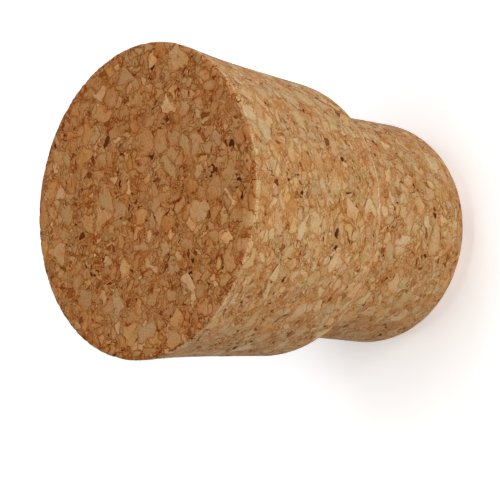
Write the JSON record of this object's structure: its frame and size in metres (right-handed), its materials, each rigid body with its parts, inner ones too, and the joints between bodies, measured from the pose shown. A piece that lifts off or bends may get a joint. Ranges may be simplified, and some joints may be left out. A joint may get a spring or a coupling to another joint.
{
  "type": "cork stopper",
  "caption": "Turned cork stopper with a wide flared head, a rounded shoulder and a straight plug with a rounded end, for closing the neck of a jar or carafe.",
  "frame": {"origin": "middle of the plug's flat end, which the stopper stands on", "axes": "+Z along the stopper's axis, from the plug's end up to the flat top of the head; X and Y are any two square directions across it"},
  "size_m": [0.055, 0.055, 0.0655],
  "materials": {
    "cork": "cut and sanded agglomerated cork, matte, unsealed"
  },
  "bodies": {
    "root": {"stopper": "cork"}
  },
  "joints": []
}
